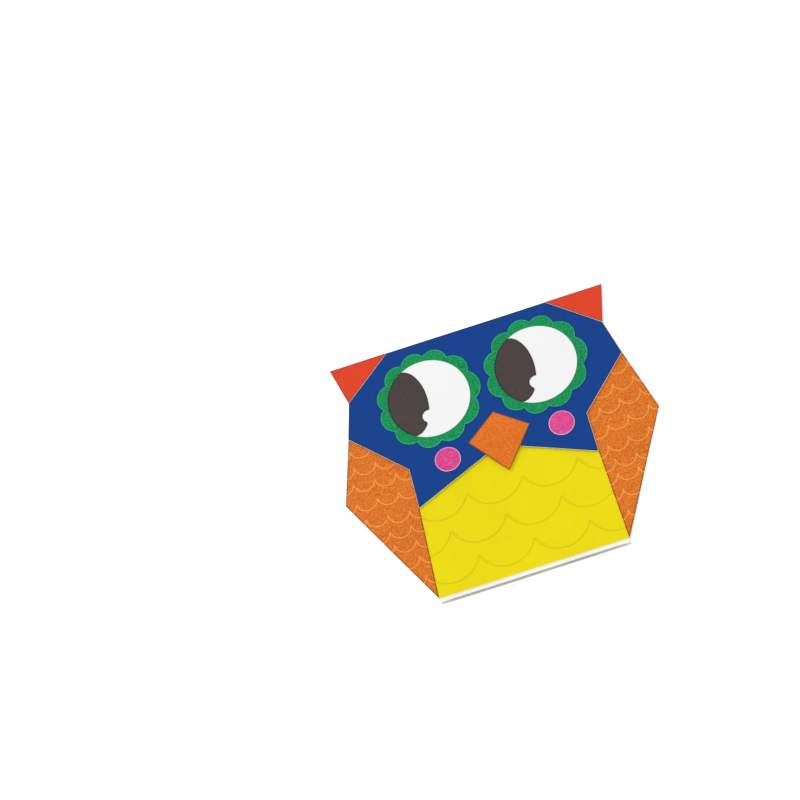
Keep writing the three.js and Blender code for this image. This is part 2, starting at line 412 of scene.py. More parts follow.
def start_editing(obj: bpy.types.Object, mode: str) -> None:
    """Enter edit mode with everything deselected.

    Args:
        obj: The object to edit.
        mode: "VERT", "EDGE" or "FACE", what is picked.
    """
    take(obj)
    bpy.ops.object.mode_set(mode="EDIT")
    bpy.ops.mesh.select_mode(type=mode)
    bpy.ops.mesh.select_all(action="DESELECT")


def stop_editing() -> None:
    """Recalculate the normals to point outwards and leave edit mode."""
    bpy.ops.mesh.select_all(action="SELECT")
    bpy.ops.mesh.normals_make_consistent(inside=False)
    bpy.ops.object.mode_set(mode="OBJECT")


def pick_faces(obj: bpy.types.Object, wanted: Callable[[bmesh.types.BMFace], bool]) -> None:
    """Select the faces that pass a test, in face mode.

    Args:
        obj: The object in edit mode.
        wanted: The test.
    """
    bpy.ops.mesh.select_mode(type="FACE")
    bpy.ops.mesh.select_all(action="DESELECT")
    mesh = bmesh.from_edit_mesh(obj.data)
    for face in mesh.faces:
        face.select_set(wanted(face))
    bmesh.update_edit_mesh(obj.data)


def finish_modifier(obj: bpy.types.Object, kind: str, **values: object) -> None:
    """Add a modifier, set it and apply it.

    Args:
        obj: The object that it shapes.
        kind: The modifier's type.
        values: Its properties.
    """
    take(obj)
    modifier = obj.modifiers.new(kind.lower(), kind)
    for name, value in values.items():
        setattr(modifier, name, value)
    bpy.ops.object.modifier_apply(modifier=modifier.name)


def copy_of(obj: bpy.types.Object, name: str) -> bpy.types.Object:
    """Copy an object together with its mesh.

    Args:
        obj: The object.
        name: The copy's name.

    Returns:
        The copy, in the scene.
    """
    twin = obj.copy()
    twin.data = obj.data.copy()
    twin.name = name
    bpy.context.scene.collection.objects.link(twin)
    return twin


def join(parts: Sequence[bpy.types.Object]) -> bpy.types.Object:
    """Join objects into the first one.

    Args:
        parts: The objects.

    Returns:
        The first object, which holds them all.
    """
    take(parts[0])
    for part in parts:
        part.select_set(True)
    bpy.ops.object.join()
    return settle(parts[0])


def slice_across(axis: int, low: float, high: float, pitch: float) -> None:
    """Cut the mesh in edit mode along evenly spaced lines across an axis.

    Args:
        axis: 0 for x and 1 for y.
        low: Where the mesh starts on that axis.
        high: Where it ends.
        pitch: The spacing, measured from 0.
    """
    normal = Vector((1 - axis, axis, 0))
    place = (math.floor(low / pitch) + 1) * pitch
    while place < high - CLOSEST_LINE * pitch:
        bpy.ops.mesh.select_all(action="SELECT")
        bpy.ops.mesh.bisect(plane_co=normal * place, plane_no=normal, use_fill=False)
        place += pitch


def spin(steps: int, turn: float, centre: Sequence[float], axis: Sequence[float]) -> None:
    """Sweep the selection round an axis, clockwise as seen from the axis's tip."""
    bpy.ops.mesh.spin(steps=steps, angle=turn, center=centre, axis=axis, use_auto_merge=False)


# ------------------------------------------------------------------ outlines


CURVE_STEP = math.radians(8)  # turn between two points of a short round cut
DISC_STEP = math.radians(5)  # and of a whole disc
FEWEST_STEPS = 3
MERGE_DISTANCE = 0.001 * MM  # two corners closer than this are one


@dataclass(frozen=True)
class Line:
    """A straight cut to a corner."""

    x: float
    y: float

    def draw(self, pen: Vector) -> Vector:
        """Extrude the pen's vertex to the corner.

        Args:
            pen: Where the vertex is.

        Returns:
            Where it ends.
        """
        step = (self.x - pen.x, self.y - pen.y, 0)
        bpy.ops.mesh.extrude_region_move(TRANSFORM_OT_translate={"value": step})
        return Vector((self.x, self.y))


@dataclass(frozen=True)
class Arc:
    """A round cut about a centre, counterclockwise where the turn is positive."""

    centre: tuple[float, float]
    turn: float
    step: float = CURVE_STEP

    def draw(self, pen: Vector) -> Vector:
        """Spin the pen's vertex about the centre.

        Args:
            pen: Where the vertex is.

        Returns:
            Where it ends.
        """
        steps = max(FEWEST_STEPS, math.ceil(abs(self.turn) / self.step))
        axis = (0, 0, -math.copysign(1, self.turn))
        spin(steps, abs(self.turn), (*self.centre, 0), axis)
        arm = pen - Vector(self.centre)
        return Vector(self.centre) + Matrix.Rotation(self.turn, 2) @ arm


@dataclass(frozen=True)
class Outline:
    """A closed cut: where it starts, and its strokes all the way round, counterclockwise."""

    start: tuple[float, float]
    strokes: tuple[Line | Arc, ...]

    @classmethod
    def corners(cls, points: Sequence[tuple[float, float]], sign: int = 1) -> "Outline":
        """Make a straight-sided outline from its corners as (x, depth); a sign of -1 mirrors it."""
        flat = [(sign * x, -depth) for x, depth in points]
        return cls(flat[0], tuple(Line(x, y) for x, y in flat[1:]))

    @classmethod
    def mirrored(cls, points: Sequence[tuple[float, float]]) -> "Outline":
        """Make a straight-sided outline from its right half's corners, from the top down."""
        left = [(-x, depth) for x, depth in points if x > 0]
        return cls.corners([*points, *reversed(left)])

    @classmethod
    def disc(cls, centre: tuple[float, float], radius: float) -> "Outline":
        """Make a round outline about a centre, x and y."""
        turn = Arc(centre, 2 * math.pi, DISC_STEP)
        return cls((centre[0] + radius, centre[1]), (turn,))

    def trace(self, name: str) -> bpy.types.Object:
        """Draw the outline with one vertex and fill it with a face.

        Args:
            name: The new object's name.

        Returns:
            The flat object, in edit mode, with its face selected.
        """
        bpy.ops.object.select_all(action="DESELECT")
        bpy.ops.mesh.primitive_plane_add(size=MM, location=(*self.start, 0))
        obj = settle(bpy.context.object)
        obj.name = name
        obj.data.name = name
        start_editing(obj, "VERT")
        bpy.ops.mesh.select_all(action="SELECT")
        bpy.ops.mesh.merge(type="CENTER")
        pen = Vector(self.start)
        for stroke in self.strokes:
            pen = stroke.draw(pen)
        bpy.ops.mesh.select_all(action="SELECT")
        bpy.ops.mesh.remove_doubles(threshold=MERGE_DISTANCE)
        bpy.ops.mesh.edge_face_add()
        bpy.ops.mesh.select_mode(type="FACE")
        bpy.ops.mesh.select_all(action="SELECT")
        return obj


# ------------------------------------------------------------------ planes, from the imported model


def box_of(spots: Sequence[Vector]) -> tuple[Vector, Vector]:
    """Return the lowest and the highest corner of the box round some points."""
    low, high = (Vector([pick(spot[i] for spot in spots) for i in range(3)]) for pick in (min, max))
    return low, high


@dataclass(frozen=True)
class Plane:
    """A plane that sheets lie on: it turns sheet coordinates into the row frame."""

    matrix: Matrix

    def corners(self, node: str) -> list[Vector]:
        """Return the corners of a packed sheet as this plane sees them."""
        back = self.matrix.inverted()
        return [back @ vertex.co for vertex in frame["nodes"][node].data.vertices]

    def heights(self, node: str) -> tuple[float, float]:
        """Return the heights of a packed sheet's underside and top above this plane."""
        levels = [corner.z for corner in self.corners(node)]
        return min(levels), max(levels)

    def middle(self, node: str) -> tuple[tuple[float, float], float]:
        """Measure a round packed sheet.

        Args:
            node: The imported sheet's name.

        Returns:
            Its centre, x and y on this plane, and half of its width.
        """
        low, high = box_of(self.corners(node))
        middle = (low + high) / 2
        return (middle.x, middle.y), (high.x - low.x) / 2

    def lay(self, obj: bpy.types.Object) -> bpy.types.Object:
        """Lay a finished flat object on the plane, its place in its mesh, and return it."""
        return settle(obj, matrix_world=self.matrix)


def joint(name: str) -> dict:
    """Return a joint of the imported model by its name."""
    return next(found for found in frame["joints"] if found["name"] == name)


def fold_line() -> Vector:
    """Return a point on the line that the bag opens about."""
    return Vector(joint("bag_open")["pos_m"])


def rest_gape() -> float:
    """Return the angle that the folds spring the empty bag open, in radians."""
    axis = joint("gusset_right_front_fold")["axis"]
    return math.atan2(abs(axis[2]), abs(axis[1]))


BACK_PLANE = Plane(Matrix.Translation((0, fold_line().y, 0)))
FRONT_PLANE = Plane(Matrix.Translation(fold_line()) @ Matrix.Rotation(-rest_gape(), 4, "X"))


COCKLE_HEIGHT = 0.5 * MM
COCKLE_SPREAD = 45 * MM  # from one wave of the paper to the next
GRID = 4 * MM  # spacing of the sheets' own mesh lines, fine enough to cockle


def cockle_texture() -> bpy.types.Texture:
    """Make the soft unevenness that glue gives to paper, one field for the whole puppet.

    Returns:
        The texture.
    """
    texture = bpy.data.textures.new("cockle", "CLOUDS")
    texture.noise_scale = COCKLE_SPREAD
    texture.noise_depth = 1
    return texture


COCKLE = cockle_texture()


# ------------------------------------------------------------------ scored and drawn lines


TOOL_SIDES = 8  # the tool is an eight-sided rod with a flat side down
TOOL_STEP = math.radians(9)  # turn between two cross-sections of the tool
FEWEST_TOOL_STEPS = 4


@dataclass(frozen=True)
class LineTool:
    """A curved scoring tool: it presses a flat-bottomed line into a sheet, from cusp to cusp.

    Attributes:
        width: Width of the pressed line.
        press: How deep it goes.
        span: Distance between its cusps.
        turn: How far it turns from one cusp to the other.
        paint: The finish in the line.
        share: How much of the way to the far cusp it is drawn.
        shrink: Its size against a full one, measured from the middle of its circle.
    """

    width: float
    press: float
    span: float
    turn: float
    paint: Paint
    share: float = 1.0
    shrink: float = 1.0

    def make(self, top: float) -> bpy.types.Object:
        """Sweep the tool along its arc, with the middle between its cusps at x and y 0.

        Args:
            top: Height of the sheet's top face, which the tool presses into.

        Returns:
            The tool as a closed object.
        """
        half_side = math.pi / TOOL_SIDES
        flat = (self.width - 2 * self.press) / 2
        section = flat / math.sin(half_side)
        lift = top + section * math.cos(half_side) - self.press
        radius = self.span / 2 / math.sin(self.turn / 2)
        hub = radius * math.cos(self.turn / 2)
        bpy.ops.object.select_all(action="DESELECT")
        bpy.ops.mesh.primitive_circle_add(
            vertices=TOOL_SIDES,
            radius=section,
            fill_type="NGON",
            rotation=(math.pi / 2, half_side, 0),
        )
        tool = settle(bpy.context.object)
        settle(tool, location=(-radius * self.shrink, 0, 0))
        settle(tool, rotation_euler=(0, 0, (math.pi - self.turn) / 2))
        settle(tool, location=(0, hub, lift))
        tool.data.materials.append(self.paint.value.material())
        start_editing(tool, "FACE")
        bpy.ops.mesh.select_all(action="SELECT")
        drawn = self.turn * self.share
        spin(max(FEWEST_TOOL_STEPS, math.ceil(drawn / TOOL_STEP)), drawn, (0, hub, lift), (0, 0, -1))
        stop_editing()
        return tool


@dataclass(frozen=True)
class Stamp:
    """One place where a scoring tool goes down, at the middle between its cusps, and its slope."""

    x: float
    depth: float
    slope: float = 0.0


def score(sheet: bpy.types.Object, tool: bpy.types.Object, stamps: Sequence[Stamp]) -> None:
    """Press a tool into a sheet at many places.

    Neighbours share a cusp, so they go down in two turns, every other one, and never overlap.

    Args:
        sheet: The flat sheet, with its top face up.
        tool: The tool from LineTool.make, which is used up.
        stamps: The places, in order along their rows.
    """
    for offset in (0, 1):
        copies = []
        for stamp in stamps[offset::2]:
            twin = copy_of(tool, "score_line")
            place = (stamp.x, -stamp.depth, 0)
            copies.append(settle(twin, location=place, rotation_euler=(0, 0, stamp.slope)))
        cutter = join(copies)
        finish_modifier(
            sheet,
            "BOOLEAN",
            operation="DIFFERENCE",
            solver="EXACT",
            object=cutter,
            material_mode="TRANSFER",
        )
        bpy.data.objects.remove(cutter)
    bpy.data.objects.remove(tool)


# ------------------------------------------------------------------ sheets


# The third slot holds painted edge shade, the strip along the cut drawn darker or paler than the print.
TOP_SLOT, UNDER_SLOT, EDGE_SHADE_SLOT = 1, 2, 3  # a sheet's own material slots; its cut edge has slot 0
FLAT_LIMIT = 0.9  # a face that looks this much up or down is the sheet's top or underside
SHARP_LIMIT = math.radians(50)
EDGE_ROUNDING = 0.35  # radius of the cut edges, as a share of the rubbed strip
SMOOTH_LIMIT = math.radians(25)
THIN_RUB = 0.06 * MM  # rubbed strip on bag paper, whose cut edges are too thin to wear


@dataclass
class Sheet:
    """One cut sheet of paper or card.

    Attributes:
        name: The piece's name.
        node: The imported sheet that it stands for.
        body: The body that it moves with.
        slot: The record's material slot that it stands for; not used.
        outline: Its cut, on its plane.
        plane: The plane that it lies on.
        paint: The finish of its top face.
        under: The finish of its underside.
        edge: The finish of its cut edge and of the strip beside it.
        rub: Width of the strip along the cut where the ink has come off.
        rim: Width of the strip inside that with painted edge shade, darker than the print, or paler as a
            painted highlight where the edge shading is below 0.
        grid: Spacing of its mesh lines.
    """

    name: str
    node: str
    body: str
    slot: str
    outline: Outline
    plane: Plane
    paint: Paint
    under: Paint = Paint.CORE
    edge: Paint = Paint.CORE
    rub: float = 0.16 * MM
    rim: float = 0.4 * MM
    grid: float = GRID

    def cut(self) -> bpy.types.Object:
        """Trace the outline and give it thickness, worn, slightly rounded cut edges and, where its finish
        has it, painted edge shade.

        Returns:
            The flat sheet at its height, not yet on its plane.
        """
        low, high = self.plane.heights(self.node)
        obj = self.outline.trace(self.name)
        top = self.paint.value
        for finish in (self.edge.value, top, self.under.value, top.rim()):
            obj.data.materials.append(finish.material())
        bpy.ops.transform.translate(value=(0, 0, low))
        bpy.ops.mesh.extrude_region_move(TRANSFORM_OT_translate={"value": (0, 0, high - low)})
        bpy.ops.mesh.select_all(action="SELECT")
        bpy.ops.mesh.normals_make_consistent(inside=False)
        self._colour_faces(obj, low, high)
        self._round_edges()
        self._divide(obj)
        stop_editing()
        return obj

    def _colour_faces(self, obj: bpy.types.Object, low: float, high: float) -> None:
        """Give the top its ink up to the rubbed strip, with painted edge shade along it, and the underside
        its finish.

        Args:
            obj: The sheet in edit mode.
            low: Height of its underside.
            high: Height of its top.
        """
        middle = (low + high) / 2
        pick_faces(obj, lambda face: face.normal.z < -FLAT_LIMIT and face.calc_center_median().z < middle)
        obj.active_material_index = UNDER_SLOT
        bpy.ops.object.material_slot_assign()
        pick_faces(obj, lambda face: face.normal.z > FLAT_LIMIT and face.calc_center_median().z > middle)
        bpy.ops.mesh.inset(thickness=self.rub, depth=0)
        # painted edge shade: a strip inside the rubbed strip, darker than the print, paler where the edge
        # shading is below 0
        if self.paint.value.edge_shading:
            obj.active_material_index = EDGE_SHADE_SLOT
            bpy.ops.object.material_slot_assign()
            bpy.ops.mesh.inset(thickness=self.rim, depth=0)
        obj.active_material_index = TOP_SLOT
        bpy.ops.object.material_slot_assign()

    def _round_edges(self) -> None:
        """Bevel the cut edges, by less than the rubbed strip."""
        bpy.ops.mesh.select_mode(type="EDGE")
        bpy.ops.mesh.select_all(action="DESELECT")
        bpy.ops.mesh.edges_select_sharp(sharpness=SHARP_LIMIT)
        bpy.ops.mesh.bevel(offset=EDGE_ROUNDING * self.rub, segments=2, affect="EDGES")

    def _divide(self, obj: bpy.types.Object) -> None:
        """Cut the whole sheet along evenly spaced lines both ways, so that it can cockle.

        Args:
            obj: The sheet in edit mode.
        """
        low, high = box_of([vertex.co.copy() for vertex in bmesh.from_edit_mesh(obj.data).verts])
        for axis in (0, 1):
            slice_across(axis, low[axis], high[axis], self.grid)

    def finish(self, obj: bpy.types.Object) -> bpy.types.Object:
        """Cockle the flat sheet, lay it on its plane and hand it to its body.

        Args:
            obj: The flat sheet.

        Returns:
            The finished piece.
        """
        lay_piece(obj, self.plane)
        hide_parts(self.node)
        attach(obj, self.body)
        return report(obj)

    def make(self) -> bpy.types.Object:
        """Cut and finish a sheet that has no scored lines, and return the piece."""
        return self.finish(self.cut())


def lay_piece(obj: bpy.types.Object, plane: Plane) -> bpy.types.Object:
    """Cockle a flat piece, lay it on a plane and smooth its shading.

    Args:
        obj: The flat piece at its height.
        plane: The plane.

    Returns:
        The same piece.
    """
    finish_modifier(
        obj,
        "DISPLACE",
        texture=COCKLE,
        texture_coords="LOCAL",
        direction="Z",
        strength=COCKLE_HEIGHT,
        mid_level=0.0,
    )
    plane.lay(obj)
    bpy.ops.object.shade_smooth_by_angle(angle=SMOOTH_LIMIT)
    return obj


def report(obj: bpy.types.Object) -> bpy.types.Object:
    """Log a finished piece's name and its number of faces, and return it."""
    log.info("%s: %d faces", obj.name, len(obj.data.polygons))
    return obj


def front_card(node: str, body: str, slot: str, outline: Outline, *paints: Paint) -> Sheet:
    """Describe a card of the front, with its top paint and, where it has them, under and edge paints."""
    return Sheet(f"{node}_card", node, body, slot, outline, FRONT_PLANE, *paints)


def bag_sheet(
    node: str, body: str, outline: Outline, plane: Plane, *paints: Paint, rub: float = THIN_RUB
) -> Sheet:
    """Describe a sheet of the bag's own paper, with its top and under paints."""
    name = node.removesuffix("_wall") + "_paper"
    return Sheet(name, node, body, "bag_paper", outline, plane, *paints, rub=rub)


def bag_panel(node: str, body: str, depth: float, plane: Plane, *paints: Paint) -> Sheet:
    """Describe a panel as wide as the bag, from the top fold down to a depth."""
    outline = Outline.mirrored([(OWL.bag_half, 0.0), (OWL.bag_half, depth)])
    return bag_sheet(node, body, outline, plane, *paints)


# ------------------------------------------------------------------ the owl's outline


@dataclass(frozen=True)
class OwlOutline:
    """The corners that the owl's sheets share, right half, as (x, depth).

    Attributes:
        height: From the top fold to the foot of the belly.
        bag_half: Half of the bag's width.
        foot_half: Half of the owl's width at its foot.
        front_lip: How far the bag's front stands out past the belly.
        back_lip: How far its back does.
        back_margin: How far the white back card stops short of the wings.
        flap_depth: Length of the turned-over end of the bag.
        wing_tip: The widest point.
        shoulder: Where the wing leaves the side of the head.
        ear_tip: The ear's outer corner on the top edge.
        ear_root: Its inner corner there.
        ear_notch: Its lower corner.
        wing_top: The wing's upper inner corner.
        chin_depth: Depth of the head's lower edge on the centre line.
        chin_slope: How fast that edge drops towards the wings.
        chin_corner_x: Where that edge ends.
        tuck: Paper of belly and wings hidden under the head.
        side_tuck: Paper of the belly hidden under each wing.
    """

    height: float = 166 * MM
    bag_half: float = 59.7 * MM
    foot_half: float = 59.75 * MM
    front_lip: float = 2.4 * MM
    back_lip: float = 1.2 * MM
    back_margin: float = 1.8 * MM
    flap_depth: float = 68 * MM
    wing_tip: tuple[float, float] = (98.9 * MM, 89 * MM)
    shoulder: tuple[float, float] = (86.7 * MM, 47.6 * MM)
    ear_tip: tuple[float, float] = (86.5 * MM, 0.0)
    ear_root: tuple[float, float] = (50 * MM, 0.0)
    ear_notch: tuple[float, float] = (80.6 * MM, 24.8 * MM)
    wing_top: tuple[float, float] = (56.1 * MM, 79.2 * MM)
    chin_depth: float = 81.4 * MM
    chin_slope: float = 0.43
    chin_corner_x: float = 56.6 * MM
    tuck: float = 8 * MM
    side_tuck: float = 4 * MM

    def chin(self, x: float) -> float:
        """Return the depth of the head's lower edge at a distance from the centre line."""
        return self.chin_depth + self.chin_slope * abs(x)

    @property
    def chin_corner(self) -> tuple[float, float]:
        """Return the corner where head, belly and wing meet."""
        return self.chin_corner_x, self.chin(self.chin_corner_x)

    @property
    def chin_middle(self) -> tuple[float, float]:
        """Return the middle of the head's lower edge."""
        return 0.0, self.chin_depth

    @property
    def foot(self) -> tuple[float, float]:
        """Return the corner at the foot of the front."""
        return self.foot_half, self.height


OWL = OwlOutline()


# ------------------------------------------------------------------ back


@dataclass
class Back:
    """The bag's back wall and the plain card that stiffens it, lying on the table."""

    body: str = "bag_back"

    def card(self) -> Sheet:
        """Describe the white card.

        Returns:
            A card with the owl's outline that stops a little short of the wings.
        """
        tip = (OWL.wing_tip[0] - OWL.back_margin, OWL.wing_tip[1])
        foot = (OWL.foot_half - OWL.back_margin, OWL.height + OWL.back_lip)
        outline = Outline.mirrored([OWL.ear_tip, OWL.ear_notch, OWL.shoulder, tip, foot])
        white = Paint.WHITE
        return Sheet("back_card", "back_cutout", self.body, "white_card", outline, BACK_PLANE, white, white)

    def wall(self) -> Sheet:
        """Return the bag's back wall, which stands out past the belly at the opening."""
        depth = OWL.height + OWL.back_lip
        return bag_panel("bag_back_wall", self.body, depth, BACK_PLANE, Paint.INSIDE, Paint.BAG)

    def build(self) -> None:
        """Make both sheets."""
        self.card().make()
        self.wall().make()


# ------------------------------------------------------------------ front: bag wall, belly and wings


@dataclass
class Front:
    """The bag's front wall with the belly and the wings on it.

    Attributes:
        body: The body that they move with.
        belly_rows: Rows of belly feathers: first cusp's x, the cusps' depth and how many feathers.
        belly_span: Width of one belly feather.
        belly_turn: How far its edge turns.
        wing_span: Width of one wing feather.
        wing_turn: How far its edge turns.
        wing_rows: For each wing, its rows: the x and depth of the cusp nearest to the belly, and how
            much higher each cusp is than the one before it.
        belly_strokes: The lines that draw one belly feather: width, depth of the press, share of the
            way that it is drawn and size against the whole feather.
        wing_stroke: Width and depth of the press of the one line that draws a wing feather.
        feathers_out: How many feathers a wing's row has outward from its inner cusp.
    """

    body: str = "bag_front"
    belly_rows: tuple[tuple[float, float, int], ...] = (
        (-61.5, 105, 4),
        (-77.0, 126.1, 4),
        (-64.6, 146.8, 4),
    )
    belly_span: float = 34.8 * MM
    belly_turn: float = math.radians(140)
    wing_span: float = 13.3 * MM
    wing_turn: float = math.radians(172)
    wing_rows: tuple[tuple[tuple[float, float, float], ...], ...] = (
        (
            (61.4, 55.1, 0.0), (61.4, 67.1, 0.3), (64.5, 78.2, 0.8),
            (66.0, 90.5, 0.3), (62.6, 104.6, 1.5), (64.2, 114.2, 0.1),
            (63.6, 124.6, 1.2), (64.2, 135.4, 0.0), (63.8, 149.2, 0.0),
        ),
        (
            (61.4, 53.8, 0.0), (62.2, 66.6, 1.1), (63.9, 78.0, 1.8),
            (66.1, 90.4, 2.3), (62.6, 103.8, 2.0), (64.6, 114.0, 0.2),
            (63.5, 123.1, 0.0), (64.1, 133.9, 0.5), (63.4, 148.0, 0.0),
        ),
    )
    belly_strokes: tuple[tuple[float, float, float, float], ...] = (
        (0.95 * MM, 0.05 * MM, 1.0, 1.0),
        (0.4 * MM, 0.03 * MM, 0.22, 0.93),
    )
    wing_stroke: tuple[float, float] = (0.65 * MM, 0.07 * MM)
    feathers_out: int = 3

    def wall(self) -> Sheet:
        """Return the bag's front wall, which has the longer lip at the opening."""
        depth = OWL.height + OWL.front_lip
        return bag_panel("bag_front_wall", self.body, depth, FRONT_PLANE, Paint.BAG, Paint.INSIDE)

    def belly(self) -> Sheet:
        """Describe the yellow belly.

        Returns:
            A card tucked under the head and under both wings.
        """
        side = OWL.chin_corner_x + OWL.side_tuck
        corners = [(0.0, OWL.chin_depth - OWL.tuck), (side, OWL.chin(side) - OWL.tuck), OWL.foot]
        return front_card("belly", self.body, "yellow_card", Outline.mirrored(corners), Paint.YELLOW)

    def wing(self, side: str, sign: int) -> Sheet:
        """Describe one wing.

        Args:
            side: "left" or "right".
            sign: -1 or 1, the direction of that side along x.

        Returns:
            The wing, tucked under the head.
        """
        shoulder, notch = Vector(OWL.shoulder), Vector(OWL.ear_notch)
        hidden = shoulder + (notch - shoulder).normalized() * OWL.tuck
        inner = OWL.wing_top[0] - OWL.tuck
        corners = [
            tuple(hidden),
            OWL.shoulder,
            OWL.wing_tip,
            OWL.foot,
            OWL.chin_corner,
            (inner, OWL.chin(inner) - OWL.tuck),
            (inner, OWL.wing_top[1] - OWL.tuck),
        ]
        paints = (Paint.ORANGE, Paint.CORE, Paint.ORANGE_EDGE)
        return front_card(f"wing_{side}", self.body, "wing_card", Outline.corners(corners, sign), *paints)

    def belly_feathers(self) -> list[Stamp]:
        """Place the belly's feathers.

        Returns:
            Their stamps, row by row.
        """
        return [
            Stamp(first * MM + (i + 0.5) * self.belly_span, depth * MM)
            for first, depth, count in self.belly_rows
            for i in range(count)
        ]

    def wing_feathers(self, rows: Sequence[tuple[float, float, float]], sign: int) -> list[Stamp]:
        """Place one wing's feathers.

        Args:
            rows: Its rows' inner cusps and their rise.
            sign: -1 or 1, the direction of the wing along x.

        Returns:
            Their stamps: the feathers outward from each cusp, and one inward that fills the corner.
        """
        stamps = []
        for x, depth, rise in rows:
            slope = sign * math.atan2(rise * MM, self.wing_span)
            for i in range(-1, self.feathers_out):
                middle = x * MM + (i + 0.5) * self.wing_span
                stamps.append(Stamp(sign * middle, (depth - (i + 0.5) * rise) * MM, slope))
        return stamps

    def build(self) -> None:
        """Make the wall, and score and finish the belly and the wings."""
        self.wall().make()
        lines = [
            LineTool(width, press, self.belly_span, self.belly_turn, Paint.BELLY_LINE, share, size)
            for width, press, share, size in self.belly_strokes
        ]
        self.score_card(self.belly(), lines, self.belly_feathers())
        line = LineTool(*self.wing_stroke, self.wing_span, self.wing_turn, Paint.WING_LINE)
        for (side, sign), rows in zip(OWL_SIDES, self.wing_rows):
            self.score_card(self.wing(side, sign), [line], self.wing_feathers(rows, sign))

    def score_card(self, sheet: Sheet, lines: Sequence[LineTool], stamps: Sequence[Stamp]) -> None:
        """Cut a sheet, score it with each tool at every place and finish it.

        Args:
            sheet: The sheet.
            lines: The tools.
            stamps: The places, in order along their rows.
        """
        card = sheet.cut()
        for line in lines:
            score(card, line.make(sheet.plane.heights(sheet.node)[1]), stamps)
        sheet.finish(card)


# ------------------------------------------------------------------ head


